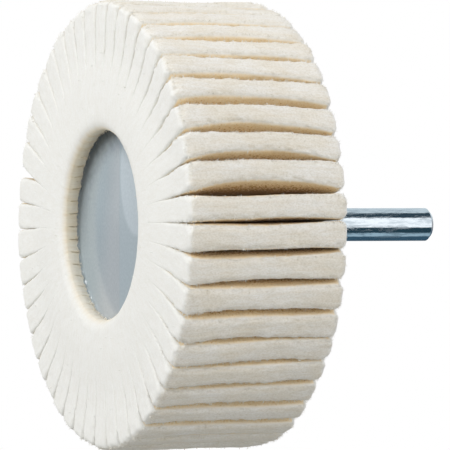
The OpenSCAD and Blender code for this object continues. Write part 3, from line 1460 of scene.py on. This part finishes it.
@dataclass
class Studio:
    """Floor, lights, world and camera.

    Attributes:
        sizes: Sizes of the wheel.
        azimuth_deg: Where the camera stands round the wheel, from its front towards +X.
        elevation_deg: How far it stands above the axis.
        distance: Its distance from the middle of the felt, in metres.
        focal_share: Its focal length over the sensor's width.
        aim_right: How far to the right of the wheel's middle it aims, in metres.
        floor_drop: How far the floor lies below the axis, in metres.
        floor_half: Half of the floor's width, in metres.
        floor_grey: Colour of the floor.
        light: Colour of the world's light.
        base: Light from all round.
        rise: Further light from above.
        push: Further light from in front, so that less than 0 takes it away.
        side: Further light from +X.
        box_at: Place of the soft box, in metres.
        box_size: Its width, in metres.
        box_power: Its power in watts.
        drum_sides: Number of flat sides of the reflection drum.
        drum_r: Radius of that drum, in metres.
        drum_y: Both ends of the drum along Y, in metres.
        band_power: Brightness of its bands.
        band_blur: Half of the width of a band's soft border, in degrees.
        bands: Start in degrees and colour of each band, from -180 to 180.
    """

    sizes: WheelSizes
    azimuth_deg: float = 66.52
    elevation_deg: float = 0.291
    distance: float = 0.960
    focal_share: float = 11.868
    aim_right: float = 0.0085
    floor_drop: float = 0.12
    floor_half: float = 0.9
    floor_grey: str = "#ACACA9"
    light: str = "#FBFBFF"
    base: float = 0.68
    rise: float = 0.11
    push: float = -0.12
    side: float = 0.66
    box_at: tuple[float, float, float] = (-0.20, -0.79, 0.40)
    box_size: float = 0.30
    box_power: float = 4.0
    drum_sides: int = 72
    drum_r: float = 0.5
    drum_y: tuple[float, float] = (-0.237, 0.9)
    band_power: float = 1.4
    band_blur: float = 2.0
    bands: tuple[tuple[float, str], ...] = (
        (-180.0, "#365163"),
        (-92.0, "#92ABB9"),
        (-61.0, "#243C48"),
        (-20.0, "#F6FBFF"),
        (48.0, "#2D3F4A"),
        (88.0, "#BCC9D0"),
    )

    def build(self) -> None:
        """Sets everything up around the wheel."""
        self.camera()
        self.world()
        self.lights()
        self.drum()
        self.floor()

    def camera(self) -> None:
        """A long lens, nearly level with the axis, to the side of the front and aimed to its right."""
        a, e = math.radians(self.azimuth_deg), math.radians(self.elevation_deg)
        back = Vector((math.sin(a) * math.cos(e), -math.cos(a) * math.cos(e), math.sin(e)))
        right = Vector((math.cos(a), math.sin(a), 0.0))
        centre = Vector((0.0, self.sizes.mid_y * MM, 0.0))
        data = bpy.data.cameras.new("camera")
        data.sensor_width = 36.0
        data.lens = data.sensor_width * self.focal_share
        data.clip_start, data.clip_end = 0.01, 20.0
        camera = bpy.data.objects.new("camera", data)
        bpy.context.scene.collection.objects.link(camera)
        camera.location = centre + back * self.distance
        aim = centre + right * self.aim_right - camera.location
        camera.rotation_mode = "QUATERNION"
        camera.rotation_quaternion = aim.to_track_quat("-Z", "Y")
        bpy.context.scene.camera = camera

    def world(self) -> None:
        """A world that is plain white to the camera and lights the wheel from one side most.

        Its light from a direction (x, y, z) is base + side x - push y + rise z.
        """
        world = bpy.data.worlds.new("studio")
        bpy.context.scene.world = world
        world.use_nodes = True
        tree = world.node_tree
        tree.nodes.clear()
        way = add_node(tree, "ShaderNodeTexCoord").outputs["Generated"]
        slope = add_node(
            tree,
            "ShaderNodeVectorMath",
            {"operation": "DOT_PRODUCT"},
            {0: way, 1: (self.side, -self.push, self.rise)},
        ).outputs["Value"]
        glow = add_node(
            tree, "ShaderNodeMath", {"operation": "ADD"}, {0: slope, 1: self.base}
        ).outputs["Value"]
        seen = add_node(tree, "ShaderNodeBackground", inputs={"Color": (1, 1, 1, 1), "Strength": 1.0})
        lit = add_node(tree, "ShaderNodeBackground", inputs={"Color": linear(self.light), "Strength": glow})
        by_camera = add_node(tree, "ShaderNodeLightPath").outputs["Is Camera Ray"]
        both = add_node(
            tree,
            "ShaderNodeMixShader",
            inputs={0: by_camera, 1: lit.outputs["Background"], 2: seen.outputs["Background"]},
        )
        add_node(tree, "ShaderNodeOutputWorld", inputs={"Surface": both.outputs["Shader"]})
        settings = bpy.context.scene.view_settings
        settings.view_transform = "Standard"
        settings.look = "None"

    def lights(self) -> None:
        """One soft box in front of the recessed face, above it and to its left."""
        data = bpy.data.lights.new("front_box", "AREA")
        data.shape = "SQUARE"
        data.size = self.box_size
        data.energy = self.box_power
        light = bpy.data.objects.new("front_box", data)
        bpy.context.scene.collection.objects.link(light)
        light.location = self.box_at
        light.rotation_mode = "QUATERNION"
        aim = Vector((0.0, self.sizes.mid_y * MM, 0.0)) - light.location
        light.rotation_quaternion = aim.to_track_quat("-Z", "Y")

    def drum(self) -> None:
        """A drum of strip lights and dark flags, which shows only in gloss.

        It is a tube round the Y axis, and its bands follow the angle from +X towards +Z.
        """
        around, (front, rear) = self.drum_sides, self.drum_y
        angle = np.arange(around) * (2.0 * math.pi / around)
        ring = self.drum_r * np.stack([np.cos(angle), np.zeros(around), np.sin(angle)], axis=1)
        points = np.concatenate([ring + (0.0, front, 0.0), ring + (0.0, rear, 0.0)])
        step = np.arange(around)
        after = (step + 1) % around
        faces = np.stack([step, after, after + around, step + around], axis=1)
        material = bpy.data.materials.new("strip_lights_and_flags")
        material.use_nodes = True
        tree = material.node_tree
        tree.nodes.clear()
        place = add_node(tree, "ShaderNodeTexCoord").outputs["Object"]
        parts = add_node(tree, "ShaderNodeSeparateXYZ", inputs={"Vector": place})
        turn = add_node(
            tree, "ShaderNodeMath", {"operation": "ARCTAN2"}, {0: parts.outputs["Z"], 1: parts.outputs["X"]}
        )
        share = add_node(
            tree,
            "ShaderNodeMapRange",
            inputs={"Value": turn.outputs["Value"], "From Min": -math.pi, "From Max": math.pi},
        )
        stops = []
        for (start, colour), (end, _) in zip(self.bands, self.bands[1:] + ((180.0, ""),)):
            for degrees in (start + self.band_blur, end - self.band_blur):
                stops.append(((degrees + 180.0) / 360.0, colour))
        colour = ramp(tree, share.outputs["Result"], stops)
        glow = add_node(tree, "ShaderNodeEmission", inputs={"Color": colour, "Strength": self.band_power})
        add_node(tree, "ShaderNodeOutputMaterial", inputs={"Surface": glow.outputs["Emission"]})
        drum = mesh_piece("reflection_drum", points, [faces], material)
        drum.visible_camera = False
        drum.visible_diffuse = False
        drum.visible_transmission = False
        drum.visible_shadow = False

    def floor(self) -> None:
        """A plain pale floor under the wheel."""
        half, z = self.floor_half, -self.floor_drop
        points = np.array([[-half, -half, z], [half, -half, z], [half, half, z], [-half, half, z]])
        material, _, shader = blank_material("pale_floor")
        shader.inputs["Base Color"].default_value = linear(self.floor_grey)
        shader.inputs["Roughness"].default_value = 0.9  # matt, so that it mirrors nothing
        floor = mesh_piece("floor", points, [np.array([[0, 1, 2, 3]])], material)
        floor.visible_glossy = False


def main() -> None:
    """Builds the studio and each sub-assembly in order and reports every piece."""
    logging.basicConfig(level=logging.INFO, format="%(name)s: %(message)s")
    sizes = WheelSizes.read()
    Studio(sizes).build()
    pieces = FeltFlaps(sizes, WoolFelt().material()).build()
    pieces.append(ResinCore(sizes, CastEpoxy().material()).build())
    pieces.append(Shank(sizes, GroundSteel().material()).build())
    for piece in pieces:
        mesh = piece.data
        log.info("%s has %d vertices and %d faces", piece.name, len(mesh.vertices), len(mesh.polygons))


if __name__ == "__main__":
    main()
